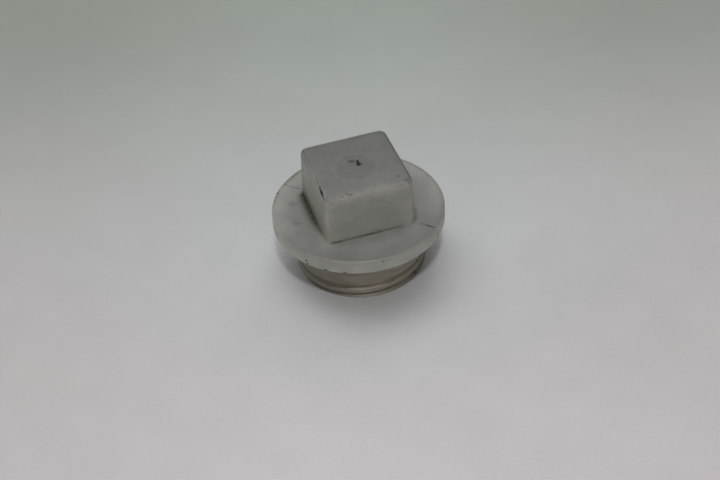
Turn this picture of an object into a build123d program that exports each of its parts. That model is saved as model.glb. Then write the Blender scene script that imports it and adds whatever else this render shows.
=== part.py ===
"""Pipe plug: square head, round flange and threaded spigot in one moulding.

Millimetres. The origin is the middle of the spigot's open end, on which the plug
stands, and +Z runs up through the head. The head's flats face X and Y.
"""

import os
from math import radians, sin, tan

from build123d import *

# Flange
flange_diameter = 27.6
flange_thickness = 2.5
flange_rim_round = 0.35

# Spigot below the flange: a plain shank, then the thread down to the open end
spigot_length = 8.1
shank_length = 4.8
shank_diameter = 20.955

# Right-hand parallel pipe thread, size 1/2, moulded a little under the shank
thread_pitch = 1.814
thread_flank_angle = 27.5
thread_under_shank = 0.08
thread_start_angle = 43.0
lead_in = 0.25

# Square head
head_side = 14.8
head_height = 8.5
head_draft_angle = 1.7
head_corner_round = 1.5
head_top_round = 0.8

# Hollow, cored from below: a wide bore in the spigot, a narrower one up into the head
wall = 2.1
head_bore_diameter = 7.0
head_roof = 1.9

# Thread form, in shares of the pitch
thread_depth = 0.64 * thread_pitch
thread_crest_round = 0.137 * thread_pitch

# Sizes that follow
crest_radius = shank_diameter / 2 - thread_under_shank
root_radius = crest_radius - thread_depth
spigot_bore_radius = root_radius - wall
thread_length = spigot_length - shank_length
flange_top = spigot_length + flange_thickness
head_top = flange_top + head_height
spigot_bore_top = flange_top - wall
head_bore_top = head_top - head_roof

# Thread ridge with a rounded crest, one helical sweep from below the open end up into the shank.
# Its foot is sunk in the core, and its flanks would meet at the apex.
ridge_start = -0.75 * thread_pitch
ridge_end = thread_length + shank_length / 2
ridge_sunk = 0.05 * thread_pitch
ridge_foot = root_radius - ridge_sunk
ridge_apex = crest_radius + thread_crest_round * (1 / sin(radians(thread_flank_angle)) - 1)
foot_half = (ridge_apex - ridge_foot) * tan(radians(thread_flank_angle))

with BuildPart() as ridge:
    with BuildLine() as coil:
        Helix(
            pitch=thread_pitch,
            height=ridge_end - ridge_start,
            radius=root_radius,
            center=(0, 0, ridge_start),
        )
    with BuildSketch(Plane.XZ) as section:
        with BuildLine():
            Polyline(
                (ridge_foot, ridge_start - foot_half),
                (ridge_apex, ridge_start),
                (ridge_foot, ridge_start + foot_half),
                close=True,
            )
        make_face()
        fillet(section.vertices().group_by(Axis.X)[-1], thread_crest_round)
    sweep(path=coil.line, is_frenet=True)
    split(bisect_by=Plane.XY, keep=Keep.TOP)

with BuildPart() as plug:
    # Spigot core, shank and flange
    Cylinder(root_radius, spigot_length, align=(Align.CENTER, Align.CENTER, Align.MIN))
    add(ridge.part.rotate(Axis.Z, thread_start_angle))
    with Locations((0, 0, thread_length)):
        Cylinder(shank_diameter / 2, shank_length, align=(Align.CENTER, Align.CENTER, Align.MIN))
    with BuildSketch(Plane.XZ):
        with BuildLine():
            Polyline(
                (0, spigot_length),
                (flange_diameter / 2, spigot_length),
                (flange_diameter / 2, flange_top),
                (0, flange_top),
                close=True,
            )
        flange = make_face()
        fillet(flange.vertices().group_by(Axis.X)[-1], flange_rim_round)
    revolve(axis=Axis.Z)

    # Square head with its rounded top edge
    with BuildSketch(Plane.XY.offset(flange_top)):
        RectangleRounded(head_side, head_side, head_corner_round)
    extrude(amount=head_height, taper=head_draft_angle)
    fillet(plug.faces().sort_by(Axis.Z)[-1].edges(), head_top_round)

    # Bore in the spigot and the narrower bore up into the head
    with BuildSketch(Plane.XY):
        Circle(spigot_bore_radius)
    extrude(amount=spigot_bore_top, mode=Mode.SUBTRACT)
    with BuildSketch(Plane.XY):
        Circle(head_bore_diameter / 2)
    extrude(amount=head_bore_top, mode=Mode.SUBTRACT)

    # Lead-in at the open end
    with BuildSketch(Plane.XZ):
        with BuildLine():
            Polyline(
                (crest_radius - lead_in, 0),
                (crest_radius + lead_in, 0),
                (crest_radius + lead_in, 2 * lead_in),
                close=True,
            )
        make_face()
    revolve(axis=Axis.Z, mode=Mode.SUBTRACT)

plug.part.label = "plug"

os.makedirs("parts", exist_ok=True)
export_step(plug.part, "parts/plug.step")
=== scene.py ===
import math
from collections import namedtuple

import bpy
import numpy as np
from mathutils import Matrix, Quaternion, Vector, noise


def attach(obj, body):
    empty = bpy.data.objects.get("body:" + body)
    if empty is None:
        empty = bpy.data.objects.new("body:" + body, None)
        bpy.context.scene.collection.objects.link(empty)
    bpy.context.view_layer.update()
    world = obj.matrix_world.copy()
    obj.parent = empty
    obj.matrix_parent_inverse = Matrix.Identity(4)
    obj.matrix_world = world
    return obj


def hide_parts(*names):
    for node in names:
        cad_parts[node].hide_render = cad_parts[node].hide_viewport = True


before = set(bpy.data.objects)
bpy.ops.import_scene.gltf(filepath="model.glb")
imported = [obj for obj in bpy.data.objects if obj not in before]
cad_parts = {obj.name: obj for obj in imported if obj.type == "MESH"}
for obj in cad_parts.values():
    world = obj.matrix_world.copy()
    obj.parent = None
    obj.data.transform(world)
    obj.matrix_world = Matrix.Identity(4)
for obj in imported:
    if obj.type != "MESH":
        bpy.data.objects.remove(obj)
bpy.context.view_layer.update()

MM = 0.001

# Sizes of the plug in millimetres, as in the solid
FLANGE_R = 13.8
FLANGE_LOW = 8.1
FLANGE_TOP = 10.6
RIM_ROUND = 0.35
SHANK_R = 20.955 / 2
THREAD_TOP = 3.3
PITCH = 1.814
FLANK = math.radians(27.5)
CREST_R = SHANK_R - 0.08
ROOT_R = CREST_R - 0.64 * PITCH
THREAD_AT = -0.75 * PITCH - PITCH * 43 / 360
LEAD_IN = 0.25
HEAD_HALF = 7.4
HEAD_TOP = 19.1
DRAFT = math.radians(1.7)
HEAD_CORNER = 1.5
TOP_ROUND = 0.8
WALL = 2.1
SPIGOT_BORE_R = ROOT_R - WALL
SPIGOT_BORE_TOP = FLANGE_TOP - WALL
HEAD_BORE_R = 3.5
HEAD_BORE_TOP = HEAD_TOP - 1.9

# Forms that wear has made softer than in the solid: the thread's broad crest and filled root,
# small rounds, and a slight uneven sinking of the faces
CREST_ROUND = 0.36 * PITCH
APEX_R = CREST_R + CREST_ROUND * (1 / math.sin(FLANK) - 1)
ROOT_SOFT = 0.1
SHANK_FILLET = 0.12
FOOT_FILLET = 0.16
FOOT_FILLET_LEFT = 0.26
BORE_EDGE = 0.15
SINKING = 0.02

# Zones at each corner of the head in which the mesh is finer, half their width in degrees
CORNER_ZONE = 8.5
PARTING_ZONE = 1.5

# Radius on the head's top up to which the mesh has round rows, fine ones near the gate scar
SCAR_ROWS_R = 1.6
ROUND_ROWS_R = 4.8

# Pale ring painted over the blind end of the head's bore, where it shows through the roof: painted light
RING_AT = (-0.41, -1.04, HEAD_TOP)
RING_R = HEAD_BORE_R

# Side on which light that has come through the milky plastic leaves it; painted light makes the
# faces turned that way paler
PAINTED_GLOW_SIDE = np.array([math.cos(math.radians(250)), math.sin(math.radians(250)), 0.0])

# Colours of the plastic and of the dirt on it; the ring's colour is painted light, and the smudge
# colour also paints shade
MILKY = (0.146, 0.149, 0.134)
MILKY_PALE = (0.169, 0.172, 0.158)
STAIN_PALE = (0.183, 0.169, 0.144)
STAIN_DARK = (0.135, 0.119, 0.094)
RING_PAINTED_LIGHT = (0.159, 0.162, 0.148)
GROOVE_DIRT = (0.060, 0.050, 0.038)
GRIME = (0.026, 0.021, 0.010)
GRIME_RUSTY = (0.058, 0.043, 0.016)
SMUDGE_AND_SHADE = (0.045, 0.046, 0.038)
BLACK = (0.012, 0.011, 0.009)

# Colours of the paper near the camera, paler with painted light, under the plug, and beyond it, darker
# with painted shade, and what darkens its sides and its far corners with painted shade, and its blotches
PAPER_NEAR_LIT = (0.552, 0.532, 0.545)
PAPER_MIDDLE = (0.449, 0.465, 0.469)
PAPER_FAR_SHADED = (0.280, 0.321, 0.283)
PAPER_SIDE_SHADE = (0.25, 0.1, 0.1)
PAPER_CORNER_SHADE = (0.1, 0.12, 0.1)
PAPER_BLOTCH = (0.2, 0.2, 0.2)
PAPER_SIZE = 1.6

# Level directions on the paper, away from the camera and across its view
AWAY = (0.278, 0.960, 0.0)
ACROSS = (0.960, -0.278, 0.0)

# Camera, at the photograph's angle: degrees, metres and millimetres of lens
CAMERA_TURN = -16.17
CAMERA_HEIGHT = 40.27
CAMERA_ROLL = -3.57
CAMERA_TARGET = Vector((-0.03, 0.008, 3.34)) * MM
CAMERA_DISTANCE = 0.28744
CAMERA_LENS = 88.9

# Soft light: wide lamps overhead and behind, a smaller one above the camera, and a low, slightly
# warm fill, most of it from the front and the left. Each has its direction, counter-clockwise from
# the right, its height and its width in degrees, and the light that it gives a face turned to it
LAMPS = {
    "overhead": (0, 90, 34, 0.17),
    "above_camera": (256.9, 61.6, 5, 0.3),
    "back_left": (120, 60, 34, 0.23),
    "back_right": (60, 60, 34, 0.13),
    "right": (45, 32, 34, 0.13),
    "low_back": (90, 10, 34, 0.23),
    "low_back_left": (135, 10, 34, 0.17),
    "low_front_left": (225, 10, 34, 0.24),
    "low_front": (270, 10, 34, 0.20),
    "low_front_right": (315, 10, 34, 0.08),
}
WARM = (1.0, 0.98, 0.93)
ROOM = (1.0, 0.97, 0.9, 1)
ROOM_LIGHT = 0.02

# Marks of moulding and handling, and one line of painted shade: a line of points on the surface, half
# its width, the depth of the dent and how dark the dirt in it is, in millimetres and from 0 to 1
Mark = namedtuple("Mark", "points half_width depth dark")
MARKS = {
    "gate_scar": Mark([(0.5, 0.45, 19.1), (0.35, -0.1, 19.1), (0.2, -0.65, 19.1)], 0.13, 0.10, 1.0),
    "gate_scar_side": Mark([(0.6, -0.2, 19.1), (0.5, -0.6, 19.1)], 0.14, 0.08, 1.0),
    "gate_scar_left": Mark([(-0.7, 0.75, 19.1), (-0.3, 0.6, 19.1)], 0.38, 0.03, 0.5),
    "gate_scar_middle": Mark([(0.0, 0.55, 19.1), (0.25, 0.35, 19.1)], 0.26, 0.03, 0.45),
    "gate_scar_right": Mark([(0.7, -0.55, 19.1), (0.95, -0.85, 19.1)], 0.13, 0.04, 0.5),
    # Painted shade: a dark line along the edge above the nick, over a slight dent
    "nick_above": Mark([(-6.85, -1.0, 18.9), (-6.95, -2.9, 18.85)], 0.12, 0.02, 0.4),
    "back_corner": Mark([(-6.75, 5.9, 18.95), (-6.6, 6.5, 18.9), (-6.0, 6.85, 18.9)], 0.14, 0.03, 0.6),
    "nick_start": Mark([(-6.95, -3.3, 18.85), (-7.0, -3.95, 18.8)], 0.12, 0.05, 0.9),
    "nick": Mark([(-7.05, -4.2, 18.7), (-7.1, -5.1, 18.65)], 0.18, 0.14, 1.0),
    "nick_end": Mark([(-7.1, -5.4, 18.6), (-7.15, -6.05, 18.5)], 0.12, 0.05, 0.9),
    "front_edge_a": Mark([(-3.7, -6.6, 19.05), (-3.45, -6.85, 18.95)], 0.12, 0.05, 0.5),
    "front_edge_b": Mark([(-3.25, -6.95, 18.85), (-2.9, -6.95, 18.85)], 0.12, 0.05, 0.55),
    "front_edge_c": Mark([(-4.45, -6.9, 18.9), (-4.4, -7.0, 18.8)], 0.12, 0.04, 0.4),
    "front_edge_d": Mark([(-6.4, -7.05, 18.15), (-6.1, -7.15, 17.95)], 0.14, 0.03, 0.3),
    "right_corner_a": Mark([(5.0, -5.4, 19.1), (5.2, -5.75, 19.1)], 0.14, 0.05, 0.5),
    "right_corner_b": Mark([(5.65, -6.55, 19.05), (5.8, -6.95, 18.85)], 0.12, 0.05, 0.35),
    "right_corner_c": Mark([(6.1, -6.65, 19.05), (6.25, -7.1, 18.45)], 0.12, 0.05, 0.4),
    "parting_back": Mark([(-9.4, 9.5, 10.6), (-7.1, 7.2, 10.6)], 0.12, 0.05, 0.4),
    "parting_front": Mark([(7.7, -7.85, 10.6), (8.7, -8.9, 10.6)], 0.12, 0.05, 0.45),
    "parting_front_end": Mark([(8.5, -8.7, 10.6), (9.3, -9.5, 10.6)], 0.12, 0.06, 0.85),
    "parting_wall": Mark([(9.75, -9.75, 10.2), (9.85, -9.65, 8.4)], 0.12, 0.05, 0.3),
    "rim_speck_a": Mark([(-11.2, -8.05, 9.1), (-11.2, -8.05, 9.0)], 0.14, 0.06, 1.0),
    "rim_speck_b": Mark([(-11.1, -8.2, 8.45), (-11.1, -8.2, 8.4)], 0.15, 0.06, 1.0),
    "rim_speck_c": Mark([(-11.55, -7.5, 8.3), (-11.5, -7.55, 8.25)], 0.1, 0.05, 0.4),
    "rim_chip_a": Mark([(-9.0, -10.4, 8.25), (-8.8, -10.6, 8.25)], 0.2, 0.1, 1.0),
    "rim_chip_b": Mark([(-6.4, -12.15, 8.25), (-6.2, -12.25, 8.25)], 0.2, 0.1, 1.0),
    "rim_speck_d": Mark([(-0.6, -13.8, 10.1), (-0.5, -13.8, 10.05)], 0.18, 0.04, 0.5),
    "top_edge_speck": Mark([(-11.15, 7.65, 10.6), (-11.05, 7.75, 10.6)], 0.18, 0.05, 0.8),
    "thread_speck": Mark([(-8.85, -5.3, 2.8), (-8.5, -5.85, 2.8)], 0.2, 0.05, 0.75),
    "face_speck": Mark([(-7.35, 0.45, 12.0), (-7.35, 0.5, 12.05)], 0.14, 0.04, 0.6),
}

# Soft smudges that only darken the plastic, without a dent; two of them are painted shade
SMUDGES_AND_PAINTED_SHADE = {
    "top": Mark([(-1.2, 2.3, 19.1), (-0.8, 1.55, 19.1)], 0.25, 0.0, 0.35),
    "scar_halo": Mark([(-0.3, 0.4, 19.1), (0.3, -0.5, 19.1)], 0.5, 0.0, 0.3),
    "flange_green": Mark([(-9.75, 4.4, 10.6), (-9.5, 4.0, 10.6)], 0.5, 0.0, 0.35),
    "flange_dark": Mark([(-10.5, -0.6, 10.6), (-10.4, -0.8, 10.6)], 0.55, 0.0, 0.35),
    # Painted shade at the head's front foot corner
    "foot_front_corner": Mark([(-6.8, -7.35, 10.6), (-5.3, -7.5, 10.6)], 0.26, 0.0, 0.42),
    "foot_right": Mark([(8.0, -4.3, 10.6), (7.5, -6.4, 10.6)], 0.28, 0.0, 0.62),
    "foot_left_end": Mark([(-7.8, 5.6, 10.6), (-8.2, 4.6, 10.6)], 0.45, 0.0, 0.3),
    "left_face": Mark([(-7.35, 2.8, 12.5), (-7.35, 0.5, 11.7)], 0.8, 0.0, 0.2),
    "front_face": Mark([(0.3, -7.2, 16.9), (3.1, -7.25, 15.7)], 0.3, 0.0, 0.14),
    "spigot_left": Mark([(-10.2, 0.2, 1.4), (-10.0, -0.8, 1.5)], 0.3, 0.0, 0.5),
    # Painted shade on the spigot's right side under the flange
    "spigot_right": Mark([(7.0, -7.75, 3.5), (7.3, -7.2, 2.25)], 0.3, 0.0, 0.4),
    "thread_right": Mark([(6.6, -7.75, 0.9), (6.65, -7.75, 0.2)], 0.38, 0.0, 0.9),
}


def smooth_step(value, low, high):
    """0 at low and 1 at high, with soft ends."""
    u = np.clip((value - low) / (high - low), 0, 1)
    return u * u * (3 - 2 * u)


def blend(a, b, share):
    return a + (b - a) * share


def towards(t, degrees):
    """1 at points on that side of the axis, 0 at right angles to it and -1 on the far side."""
    return np.cos(t - math.radians(degrees))


def rounded_square(angle, half, corner):
    """Distance from the axis to a square outline with rounded corners."""
    c, s = np.abs(np.cos(angle)), np.abs(np.sin(angle))
    k = half - corner
    flat = half / np.maximum(c, s)
    along = k * (c + s)
    arc = along + np.sqrt(np.maximum(along**2 - 2 * k**2 + corner**2, 0))
    return np.where(half * np.minimum(c, s) / np.maximum(c, s) > k, arc, flat)


def head_outline(angle, half):
    return rounded_square(angle, half, HEAD_CORNER - (HEAD_HALF - half))


def thread_offset(angle, z):
    """Height from the nearest crest of the helical ridge, never more than half the pitch."""
    at = THREAD_AT + PITCH * angle / (2 * math.pi)
    return np.abs((z - at + PITCH / 2) % PITCH - PITCH / 2)


def thread_radius(angle, z):
    """Radius of the threaded spigot: one helical ridge with a broad, worn crest and a filled root."""
    off = PITCH / 2 - np.hypot(PITCH / 2 - thread_offset(angle, z), ROOT_SOFT)
    crest = CREST_R - CREST_ROUND + np.sqrt(np.maximum(CREST_ROUND**2 - off**2, 0))
    flank = APEX_R - off / math.tan(FLANK)
    return np.where(off < CREST_ROUND * math.cos(FLANK), crest, flank)


def thread_root(angle, z):
    """1 in the thread's grooves and 0 on its crests and on the shank."""
    on_thread = smooth_step(z, THREAD_TOP, THREAD_TOP - 0.3)
    return smooth_step(thread_offset(angle, z), 0.5, 0.85) * on_thread


def angles():
    """Angles round the axis, closer at the head's corners and closest at the parting lines."""
    zones = (
        (-45, -CORNER_ZONE, 24),
        (-CORNER_ZONE, -PARTING_ZONE, 12),
        (-PARTING_ZONE, PARTING_ZONE, 16),
        (PARTING_ZONE, CORNER_ZONE, 12),
        (CORNER_ZONE, 45, 24),
    )
    steps = []
    for corner in (45, 135, 225, 315):
        for start, end, count in zones:
            steps += list(np.linspace(corner + start, corner + end, count, endpoint=False))
    return np.radians(np.array(steps))


def foot_round(t):
    """Radius in the corner at the head's foot, where grime has built up most along the left face."""
    left = np.clip(-np.cos(t), 0, 1) ** 6
    return FOOT_FILLET + FOOT_FILLET_LEFT * left


def plug_rows(t):
    """Rows of (radius, height) from the middle of the head's top, outside, down and back up inside."""
    one = np.ones_like(t)
    rows = []

    def add(radius, height):
        rows.append((radius * one, height * one))

    # Head top: round rows in the middle, then out to the rounded square
    scar_rows = np.linspace(0.07, SCAR_ROWS_R, 20)
    for r in np.concatenate([scar_rows, np.linspace(SCAR_ROWS_R + 0.14, ROUND_ROWS_R, 23)]):
        add(r, HEAD_TOP)
    inner = HEAD_HALF - (HEAD_TOP - TOP_ROUND - FLANGE_TOP) * math.tan(DRAFT) - TOP_ROUND
    for u in np.linspace(0, 1, 8)[1:]:
        add((1 - u) * ROUND_ROWS_R + u * head_outline(t, inner), HEAD_TOP)
    # Rounded top edge and the drafted sides
    for a in np.linspace(math.pi / 2, DRAFT, 13)[1:]:
        z = HEAD_TOP - TOP_ROUND + TOP_ROUND * math.sin(a)
        add(head_outline(t, inner + TOP_ROUND * math.cos(a)), z)
    side_top = HEAD_TOP - TOP_ROUND * (1 - math.sin(DRAFT))
    foot = foot_round(t)
    for u in np.concatenate([np.linspace(0, 0.86, 16)[1:], np.linspace(0.86, 1, 10)[1:]]):
        z = side_top + (FLANGE_TOP + foot - side_top) * u
        add(head_outline(t, HEAD_HALF - (z - FLANGE_TOP) * math.tan(DRAFT)), z)
    for a in np.radians(np.linspace(0, 90, 6)[1:]):
        z = FLANGE_TOP + foot * (1 - math.sin(a))
        add(head_outline(t, HEAD_HALF + foot * (1 - math.cos(a))), z)
    # Flange top out to its rim, the rim, and the underside in to the shank
    inside = head_outline(t, HEAD_HALF + foot)
    for u in np.linspace(0, 1, 29)[1:] ** 1.35:
        add((1 - u) * inside + u * (FLANGE_R - RIM_ROUND), FLANGE_TOP)
    for a in np.radians(np.linspace(0, 90, 9)[1:]):
        add(FLANGE_R - RIM_ROUND * (1 - math.sin(a)), FLANGE_TOP - RIM_ROUND * (1 - math.cos(a)))
    for z in np.linspace(FLANGE_TOP - RIM_ROUND, FLANGE_LOW + RIM_ROUND, 9)[1:]:
        add(FLANGE_R, z)
    for a in np.radians(np.linspace(90, 0, 7)[1:]):
        add(FLANGE_R - RIM_ROUND * (1 - math.sin(a)), FLANGE_LOW + RIM_ROUND * (1 - math.cos(a)))
    for r in np.linspace(FLANGE_R - RIM_ROUND, SHANK_R + SHANK_FILLET, 8)[1:]:
        add(r, FLANGE_LOW)
    # Shank with its small fillet, down to the step onto the thread
    for a in np.radians(np.linspace(0, 90, 4)[1:]):
        z = FLANGE_LOW - SHANK_FILLET * (1 - math.cos(a))
        add(SHANK_R + SHANK_FILLET * (1 - math.sin(a)), z)
    for z in np.linspace(FLANGE_LOW - SHANK_FILLET, THREAD_TOP + 0.1, 14)[1:]:
        add(SHANK_R, z)
    add(SHANK_R - 0.03, THREAD_TOP + 0.03)
    add(CREST_R, THREAD_TOP)
    # Thread down to the open end
    for z in np.linspace(THREAD_TOP, 0.0, 70):
        add(np.minimum(thread_radius(t, z * one), CREST_R - LEAD_IN + z), z)
    # Open end, the spigot's bore and the narrower bore up into the head
    end = np.minimum(thread_radius(t, 0 * one), CREST_R - LEAD_IN)
    for u in np.linspace(0, 1, 5)[1:]:
        add((1 - u) * end + u * (SPIGOT_BORE_R + BORE_EDGE), 0.0)
    for z in np.concatenate([[BORE_EDGE], np.linspace(0.8, SPIGOT_BORE_TOP, 8)]):
        add(SPIGOT_BORE_R, z)
    for r in np.linspace(SPIGOT_BORE_R, HEAD_BORE_R, 5)[1:]:
        add(r, SPIGOT_BORE_TOP)
    for z in np.linspace(SPIGOT_BORE_TOP, HEAD_BORE_TOP, 9)[1:]:
        add(HEAD_BORE_R, z)
    for r in np.linspace(HEAD_BORE_R, 0, 5)[1:-1]:
        add(r, HEAD_BORE_TOP)
    return np.array([r for r, z in rows]), np.array([z for r, z in rows])


def distance_to_line(points, line):
    """Distance from each point to a line of straight runs."""
    nearest = np.full(len(points), np.inf)
    for start, end in zip(line, line[1:]):
        start, run = np.array(start), np.subtract(end, start)
        along = np.clip((points - start) @ run / (run @ run), 0, 1)
        nearest = np.minimum(nearest, np.linalg.norm(points - start - along[:, None] * run, axis=1))
    return nearest


def dents(points):
    """Depth at each point of the nicks, chips and parting lines, and of the faces' uneven sinking."""
    depth = np.zeros(len(points))
    for mark in MARKS.values():
        off = distance_to_line(points, mark.points)
        share = 1 - smooth_step(off, 0.3 * mark.half_width, 1.6 * mark.half_width)
        depth = np.maximum(depth, mark.depth * share)
    outside = (np.hypot(points[:, 0], points[:, 1]) > SPIGOT_BORE_R) | (points[:, 2] > HEAD_BORE_TOP)
    wave = np.array([noise.noise(Vector(p) * 0.3) for p in points])
    return depth + outside * SINKING * (1 + np.clip(wave, -1, 1))


def foot_grime(points, t):
    """Dirt in the corner at the head's foot: a wide band on the left and a thin line in front."""
    x, y, z = points.T
    out = np.hypot(x, y) - head_outline(t, HEAD_HALF)
    up = (1.2 - 0.55 * smooth_step(y, -1.0, 4.0)) * (z - FLANGE_TOP)
    off = np.hypot(np.maximum(out, 0), np.maximum(up, 0))
    left = smooth_step(-x, 6.9, 7.3) * smooth_step(y, -8.5, -1.5) * smooth_step(y, 7.2, 5.8)
    front = smooth_step(-y, 6.9, 7.3) * smooth_step(x, -7.2, -6.2) * smooth_step(x, 5.8, 3.8)
    spread = smooth_step(y, -6.0, 0.5) * (1 - 0.25 * smooth_step(y, 2.5, 5.5))
    width = 0.24 + left * (0.16 + 0.6 * spread)
    middle = np.exp(-(((x + 0.3) / 1.8) ** 2))
    strength = 0.15 + 0.8 * left + front * (0.62 + 0.2 * middle)
    near = (z > FLANGE_TOP - 0.1) & (z < HEAD_TOP - 2)
    return near * strength * np.exp(-((off / width) ** 2))


def head_painted_light(x, y, z):
    """Painted light makes it paler on the left, on the right, low at the front corners and under the
    front edge; painted shade makes it greyer on top and along most edges.
    """
    left = smooth_step(-x, 6.6, 7.0) * smooth_step(z, 18.7, 18.1)
    left = left * (0.3 - 0.17 * smooth_step(z, 14.2, 12.0))
    right = 0.3 * smooth_step(x, 5.8, 7.0) * smooth_step(z, 18.2, 17.2)
    low_corners = 0.15 * smooth_step(np.abs(x), 3.5, 6.0)
    low_corners = low_corners * smooth_step(z, 13.0, 11.2) * smooth_step(-y, 5.5, 6.5)
    # Painted highlight under the front edge
    under_edge = smooth_step(z, 17.2, 18.0) * (1 - 0.65 * smooth_step(z, 18.3, 18.8))
    painted_front_highlight = 0.22 * smooth_step(-y, 6.3, 6.8) * under_edge
    sides = 1.02 + left + right + low_corners + painted_front_highlight

    # Painted shade: the top greyer, most inside the ring over the bore's end
    in_ring = smooth_step(np.hypot(x - RING_AT[0], y - RING_AT[1]), 3.6, 2.6)
    top = 0.73 + 0.12 * smooth_step(-y, 2.0, 6.5)
    top = top - 0.04 * smooth_step(y, 0.0, 3.0) - 0.08 * smooth_step(y, 5.0, 6.4)
    top = top * (1 - 0.08 * in_ring) * (1 - 0.08 * smooth_step(x, 4.8, 6.2))

    # Painted shade along the top's edges and near its front corners
    back_edge = 0.42 * smooth_step(y, 6.2, 6.6)
    right_edge = 0.3 * smooth_step(x, 6.35, 6.7)
    left_edge = 0.27 * smooth_step(-x, 6.3, 6.65) * smooth_step(y, -1.0, 3.0)
    front_corners = np.maximum(smooth_step(-x, 5.2, 6.4), smooth_step(x, 2.0, 5.0))
    front_corners = 0.14 * front_corners * smooth_step(-y, 5.8, 6.5)
    painted_edge_shade = np.max([back_edge, right_edge, left_edge, front_corners], axis=0)
    painted_edge_shade = painted_edge_shade * smooth_step(z, 18.0, 18.5)
    return blend(sides, top, smooth_step(z, HEAD_TOP - 0.3, HEAD_TOP - 0.05)) * (1 - painted_edge_shade)


def flange_painted_light(t, r, z):
    """Painted light makes it paler at the back and in front of the head, and painted shade makes a
    darker line along its rim.
    """
    behind = smooth_step(np.sin(t), 0.1, 0.6)
    back_left = smooth_step(towards(t, 112), 0.88, 0.97)
    back_and_right = smooth_step(np.sin(t) + 0.3 * np.maximum(np.cos(t), 0), -0.35, 0.0)
    inner = 1.04 + 0.54 * smooth_step(towards(t, 266), 0.5, 0.85)
    outer = 0.99 + 0.33 * back_and_right + 0.2 * behind
    wall = np.minimum(1.19 + 0.62 * (1 - towards(t, 248)), 1.7)
    tone = blend(inner, outer, smooth_step(r, 9.8, 13.2))
    tone = blend(tone, wall, smooth_step(r, FLANGE_R - 0.2, FLANGE_R - 0.05))
    # Painted shade: a darker line along the rim
    rim_off = np.hypot(r - FLANGE_R + 0.15, z - FLANGE_TOP + 0.1)
    rim_width = 0.4 + 0.25 * back_left
    painted_rim_shade = 0.27 + 0.25 * behind + 0.15 * back_left - 0.17 * smooth_step(towards(t, 172), 0.93, 0.99)
    return tone * (1 - painted_rim_shade * np.exp(-((rim_off / rim_width) ** 2)))


def spigot_painted_light(t, r, z):
    """Painted light makes it paler on the right and in the upper groove, where light comes through,
    with a painted glint on a flank; painted shade makes it darker at its end.
    """
    through = 0.7 - 0.3 * smooth_step(towards(t, 272), 0.85, 0.97)
    through = through + 0.5 * smooth_step(towards(t, 261), 0.96, 0.99)
    through = through + 0.9 * smooth_step(towards(t, 325), 0.94, 0.99)
    off = thread_offset(t, z)
    flank = smooth_step(off, 0.22, 0.42) * smooth_step(off, 0.64, 0.5) * smooth_step(z, 2.6, 2.4)
    # Painted glint on the upper flank of the thread
    painted_flank_glint = 0.85 * flank * smooth_step(towards(t, 259), 0.93, 0.99)
    # Painted shade at the spigot's end, by the paper
    painted_end_shade = 0.36 * smooth_step(off, 0.52, 0.40) * smooth_step(z, 0.8, 0.6) * (r > ROOT_R - 0.1)
    tone = (0.83 + 0.22 * towards(t, 330)) * (1 - painted_end_shade)
    return tone * (1 + smooth_step(z, 0.7, 1.3) * (through * thread_root(t, z) + painted_flank_glint))


def painted_light_tones(points, t, normals):
    """How light the plastic is at each point, against its plain colour: painted light and painted shade.
    Painted light, for light that comes through it, makes all the sides towards the front left paler."""
    x, y, z = points.T
    r = np.hypot(x, y)
    on_flange = smooth_step(z, FLANGE_TOP + 0.3, FLANGE_TOP + 0.05)
    on_spigot = smooth_step(z, FLANGE_LOW, FLANGE_LOW - 0.4)
    tone = blend(head_painted_light(x, y, z), flange_painted_light(t, r, z), on_flange)
    tone = blend(tone, spigot_painted_light(t, r, z), on_spigot)
    # Painted light on the faces turned towards the front left
    painted_glow = np.clip(normals @ PAINTED_GLOW_SIDE, 0, 1)
    return tone * (1 + 0.31 * painted_glow**0.7)


def layers(points, t, normals):
    """Attributes of the points: the plastic's tone of painted light and shade, and from 0 to 1
    the stain and the dirt.
    """
    x, y, z = points.T
    outside = np.hypot(x, y) > SPIGOT_BORE_R + 0.3
    return {
        "tone": painted_light_tones(points, t, normals),
        "stain": smooth_step(z, FLANGE_LOW, FLANGE_LOW - 0.6),
        "groove": outside * thread_root(t, z),
        "grime": foot_grime(points, t),
    }


def make_plug():
    """The plug as one closed mesh: rows round the axis, dented along the surface's own direction."""
    t = angles()
    radius, height = plug_rows(t)
    n_rows, n = radius.shape
    x, y = radius * np.cos(t), radius * np.sin(t)
    points = np.stack([x, y, height], axis=2).reshape(-1, 3)
    top, roof = len(points), len(points) + 1
    points = np.vstack([points, [[0, 0, HEAD_TOP], [0, 0, HEAD_BORE_TOP]]])
    around = np.concatenate([np.tile(t, n_rows), [0, 0]])
    faces = []
    for i in range(n_rows - 1):
        for j in range(n):
            k = (j + 1) % n
            faces.append((i * n + j, (i + 1) * n + j, (i + 1) * n + k, i * n + k))
    last = (n_rows - 1) * n
    for j in range(n):
        k = (j + 1) % n
        faces.append((top, j, k))
        faces.append((roof, last + k, last + j))
    mesh = bpy.data.meshes.new("plug_moulding")
    mesh.from_pydata((points * MM).tolist(), [], faces)
    mesh.polygons.foreach_set("use_smooth", [True] * len(mesh.polygons))
    mesh.update()
    flat_normals = np.empty(len(points) * 3)
    mesh.vertex_normals.foreach_get("vector", flat_normals)
    normals = flat_normals.reshape(-1, 3)
    dented = points - dents(points)[:, None] * normals
    mesh.vertices.foreach_set("co", (dented * MM).ravel())
    for name, values in layers(points, around, normals).items():
        mesh.attributes.new(name, "FLOAT", "POINT").data.foreach_set("value", values)
    mesh.update()
    plug = bpy.data.objects.new("plug_moulding", mesh)
    bpy.context.scene.collection.objects.link(plug)
    return plug


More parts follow.
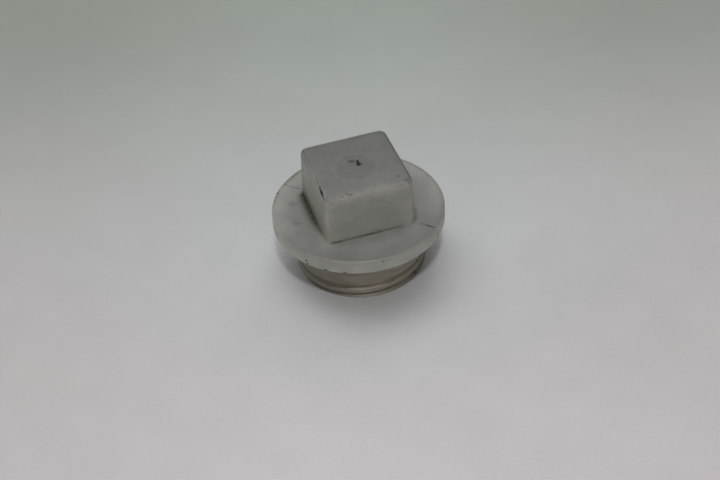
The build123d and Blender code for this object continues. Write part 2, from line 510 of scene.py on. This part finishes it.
class Nodes:
    """A node tree, with short calls for the nodes that the materials use."""

    def __init__(self, tree):
        self.tree = tree

    def feed(self, socket, value):
        if isinstance(value, bpy.types.NodeSocket):
            self.tree.links.new(value, socket)
        else:
            socket.default_value = value

    def node(self, kind, *inputs, **settings):
        made = self.tree.nodes.new(kind)
        for key, value in settings.items():
            setattr(made, key, value)
        for socket, value in inputs:
            self.feed(made.inputs[socket], value)
        return made

    def math(self, operation, a, b=0.0):
        return self.node("ShaderNodeMath", (0, a), (1, b), operation=operation).outputs[0]

    def vector_math(self, operation, *inputs):
        return self.node("ShaderNodeVectorMath", *inputs, operation=operation).outputs

    def vector(self, operation, a, b):
        return self.vector_math(operation, (0, a), (1, b))["Vector"]

    def scaled(self, a, factor):
        return self.vector_math("SCALE", (0, a), ("Scale", factor))["Vector"]

    def length(self, a):
        return self.vector_math("LENGTH", (0, a))["Value"]

    def dot(self, a, b):
        return self.vector_math("DOT_PRODUCT", (0, a), (1, b))["Value"]

    def ramp(self, value, low, high, start=0.0, end=1.0):
        """start where value is low and end where it is high, with soft ends."""
        given = (("Value", value), ("From Min", low), ("From Max", high))
        wanted = (("To Min", start), ("To Max", end))
        made = self.node("ShaderNodeMapRange", *given, *wanted, interpolation_type="SMOOTHSTEP")
        return made.outputs["Result"]

    def noise(self, place, scale, detail=3.0, roughness=0.55):
        inputs = (("Vector", place), ("Scale", scale), ("Detail", detail), ("Roughness", roughness))
        return self.node("ShaderNodeTexNoise", *inputs).outputs

    def attribute(self, name):
        return self.node("ShaderNodeAttribute", attribute_name=name).outputs["Fac"]

    def mix(self, factor, a, b):
        """Colour a where factor is 0 and colour b where it is 1."""
        made = self.node("ShaderNodeMix", ("Factor", factor), data_type="RGBA")
        for socket, colour in ((made.inputs[6], a), (made.inputs[7], b)):
            self.feed(socket, colour if isinstance(colour, bpy.types.NodeSocket) else (*colour, 1))
        return made.outputs[2]


def stroke_group():
    """Node group: 1 on a straight stroke from Start to End in space and 0 away from it."""
    group = bpy.data.node_groups.new("stroke", "ShaderNodeTree")
    sockets = {"Place": "Vector", "Start": "Vector", "End": "Vector", "Inner": "Float", "Outer": "Float"}
    for name, kind in sockets.items():
        group.interface.new_socket(name=name, in_out="INPUT", socket_type=f"NodeSocket{kind}")
    group.interface.new_socket(name="Mask", in_out="OUTPUT", socket_type="NodeSocketFloat")
    n = Nodes(group)
    given = n.node("NodeGroupInput").outputs
    from_start = n.vector("SUBTRACT", given["Place"], given["Start"])
    run = n.vector("SUBTRACT", given["End"], given["Start"])
    along = n.math("DIVIDE", n.dot(from_start, run), n.dot(run, run))
    along = n.math("MINIMUM", n.math("MAXIMUM", along, 0.0), 1.0)
    off = n.length(n.vector("SUBTRACT", from_start, n.scaled(run, along)))
    n.node("NodeGroupOutput", ("Mask", n.ramp(off, given["Inner"], given["Outer"], 1.0, 0.0)))
    return group


def strokes(n, group, place, table, inner, outer):
    """The darkest of a table's strokes at each point, full over the dent and inner times its half
    width, then fading over outer times the half width."""
    darkest = None
    for stroke in table.values():
        reach = math.hypot(inner * stroke.half_width, stroke.depth + SINKING)
        for start, end in zip(stroke.points, stroke.points[1:]):
            mask = n.node("ShaderNodeGroup", node_tree=group)
            n.feed(mask.inputs["Place"], place)
            n.feed(mask.inputs["Start"], start)
            n.feed(mask.inputs["End"], end)
            n.feed(mask.inputs["Inner"], reach)
            n.feed(mask.inputs["Outer"], reach + outer * stroke.half_width)
            dark = n.math("MULTIPLY", mask.outputs["Mask"], stroke.dark)
            darkest = dark if darkest is None else n.math("MAXIMUM", darkest, dark)
    return darkest


def new_material(name):
    """A material with its nodes, its shader and the place on the object in millimetres."""
    material = bpy.data.materials.new(name)
    material.use_nodes = True
    n = Nodes(material.node_tree)
    shader = material.node_tree.nodes["Principled BSDF"]
    place = n.scaled(n.node("ShaderNodeTexCoord").outputs["Object"], 1 / MM)
    return material, n, shader, place


def natural_plastic():
    """Milky unpigmented plastic, cloudy inside, scuffed and dirty."""
    material, n, shader, place = new_material("natural_plastic")

    # Milky body, cloudy, with a brown stain on the spigot that is streaked round it
    cloud = n.noise(place, 0.35, 4.0)["Fac"]
    milky = n.mix(n.ramp(cloud, 0.3, 0.7), MILKY, MILKY_PALE)
    streak = n.noise(n.vector("MULTIPLY", place, (0.25, 0.25, 2.2)), 1.0, 4.0)["Fac"]
    brown = n.mix(n.ramp(streak, 0.3, 0.7), STAIN_PALE, STAIN_DARK)
    patchy = n.noise(place, 0.9, 5.0, 0.65)["Fac"]
    fleck = n.ramp(n.noise(place, 2.2)["Fac"], 0.25, 0.75, 0.97, 1.03)
    fleck = n.math("MULTIPLY", n.ramp(patchy, 0.25, 0.75, 0.96, 1.04), fleck)
    # The tone attribute brings in the painted light and painted shade
    tone = n.math("MULTIPLY", n.attribute("tone"), fleck)
    colour = n.scaled(n.mix(n.attribute("stain"), milky, brown), tone)

    # Painted light: a pale ring over the bore's end, where it shows through the roof; and dirt in the
    # thread's grooves
    ring_off = n.math("SUBTRACT", n.length(n.vector("SUBTRACT", place, RING_AT)), RING_R)
    painted_ring = n.ramp(n.math("ABSOLUTE", ring_off), 0.0, 0.5, 0.35, 0.0)
    painted_ring = n.math("MULTIPLY", painted_ring, n.ramp(cloud, 0.25, 0.6, 0.4, 1.0))
    colour = n.mix(painted_ring, colour, RING_PAINTED_LIGHT)
    groove = n.math("MULTIPLY", n.attribute("groove"), n.ramp(patchy, 0.4, 0.7, 0.0, 0.3))
    colour = n.mix(groove, colour, GROOVE_DIRT)

    # Dirt at the head's foot, browner in places, then smudges, two of them painted shade, and the black
    # marks, one of them a line of painted shade
    grime = n.math("MULTIPLY", n.attribute("grime"), n.ramp(patchy, 0.28, 0.5, 0.75, 1.0))
    rust = n.ramp(n.noise(place, 0.55, 2.0)["Fac"], 0.5, 0.66)
    colour = n.mix(grime, colour, n.mix(rust, GRIME, GRIME_RUSTY))
    group = stroke_group()
    smudge_and_shade = strokes(n, group, place, SMUDGES_AND_PAINTED_SHADE, 0.1, 1.6)
    smudge_and_shade = n.math("MULTIPLY", smudge_and_shade, n.ramp(patchy, 0.25, 0.6, 0.6, 1.0))
    colour = n.mix(smudge_and_shade, colour, SMUDGE_AND_SHADE)
    shift = n.vector("SUBTRACT", n.noise(place, 2.5, 3.0)["Color"], (0.5, 0.5, 0.5))
    ragged = n.vector("ADD", place, n.scaled(shift, 0.16))
    black = strokes(n, group, ragged, MARKS, 0.5, 0.7)
    colour = n.mix(black, colour, BLACK)
    n.feed(shader.inputs["Base Color"], colour)

    # Satin surface with fine scuffs, dull where it is dirty
    scuff = n.noise(n.vector("MULTIPLY", place, (1.0, 4.0, 1.5)), 1.6, 5.0, 0.7)["Fac"]
    caked = n.math("MAXIMUM", grime, black)
    dirt = n.math("MAXIMUM", caked, groove)
    rough = n.math("ADD", n.ramp(scuff, 0.3, 0.75, 0.38, 0.56), n.math("MULTIPLY", dirt, 0.3))
    n.feed(shader.inputs["Roughness"], rough)
    n.feed(shader.inputs["Specular IOR Level"], n.ramp(caked, 0.0, 1.0, 0.5, 0.1))
    grain = n.math("ADD", n.noise(place, 3.5, 4.0, 0.6)["Fac"], n.math("MULTIPLY", scuff, 0.7))
    bump = n.node("ShaderNodeBump", ("Height", grain), ("Strength", 0.35), ("Distance", 0.03 * MM))
    n.feed(shader.inputs["Normal"], bump.outputs["Normal"])
    shader.inputs["IOR"].default_value = 1.49
    shader.inputs["Subsurface Weight"].default_value = 0.6
    shader.inputs["Subsurface Radius"].default_value = (1.0, 0.95, 0.85)
    shader.inputs["Subsurface Scale"].default_value = 2.5 * MM
    return material


def paper_look():
    """Plain paper, a little greener away from the camera and pinker towards it; painted shade makes it
    darker away from the camera, at its sides and in its far corners, and painted light paler near it.
    """
    material, n, shader, place = new_material("paper")
    away = n.dot(place, AWAY)
    across = n.math("ABSOLUTE", n.dot(place, ACROSS))
    # Painted light near the camera, painted shade beyond the plug, at the sides and in the far corners
    colour = n.mix(n.ramp(away, -60, 15), PAPER_NEAR_LIT, PAPER_MIDDLE)
    colour = n.mix(n.ramp(away, 0, 85), colour, PAPER_FAR_SHADED)
    colour = n.mix(n.ramp(across, 5, 60, 0.0, 0.12), colour, PAPER_SIDE_SHADE)
    corner = n.math("MULTIPLY", n.ramp(away, 0, 70), n.ramp(across, 10, 60, 0.0, 0.15))
    colour = n.mix(corner, colour, PAPER_CORNER_SHADE)
    for scale, strength in ((0.12, 0.06), (1.6, 0.05)):
        blotch = n.noise(place, scale, 4.0)["Fac"]
        colour = n.mix(n.ramp(blotch, 0.3, 0.7, strength, 0.0), colour, PAPER_BLOTCH)
    n.feed(shader.inputs["Base Color"], colour)
    shader.inputs["Roughness"].default_value = 0.9
    return material


def direction(turn, height):
    """Unit vector towards a direction, counter-clockwise from the right, and a height in degrees."""
    a, e = math.radians(turn), math.radians(height)
    return Vector((math.cos(a) * math.cos(e), math.sin(a) * math.cos(e), math.sin(e)))


def add_camera():
    back = direction(CAMERA_TURN - 90, CAMERA_HEIGHT)
    camera = bpy.data.objects.new("camera", bpy.data.cameras.new("camera"))
    bpy.context.scene.collection.objects.link(camera)
    camera.data.lens = CAMERA_LENS
    camera.data.sensor_width = 36
    camera.data.clip_start = 0.01
    camera.location = CAMERA_TARGET + back * CAMERA_DISTANCE
    camera.rotation_mode = "QUATERNION"
    roll = Quaternion((0, 0, 1), math.radians(CAMERA_ROLL))
    camera.rotation_quaternion = (-back).to_track_quat("-Z", "Y") @ roll
    bpy.context.scene.camera = camera


def add_lamp(name, turn, height, width, light):
    data = bpy.data.lights.new(name, "SUN")
    data.energy = math.pi * light
    data.angle = math.radians(width)
    if name.startswith("low"):
        data.color = WARM
    lamp = bpy.data.objects.new(name, data)
    lamp.rotation_mode = "QUATERNION"
    lamp.rotation_quaternion = (-direction(turn, height)).to_track_quat("-Z", "Y")
    bpy.context.scene.collection.objects.link(lamp)


def add_room():
    world = bpy.data.worlds.new("room")
    bpy.context.scene.world = world
    world.use_nodes = True
    sky = world.node_tree.nodes["Background"]
    sky.inputs["Color"].default_value = ROOM
    sky.inputs["Strength"].default_value = ROOM_LIGHT


plug = make_plug()
plug.data.materials.append(natural_plastic())
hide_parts("plug")
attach(plug, "root")

# Pale paper under the plug
bpy.ops.mesh.primitive_plane_add(size=PAPER_SIZE)
paper = bpy.context.object
paper.name = "paper"
paper.data.materials.append(paper_look())

add_camera()
for name, settings in LAMPS.items():
    add_lamp(name, *settings)
add_room()

bpy.context.scene.view_settings.view_transform = "Standard"
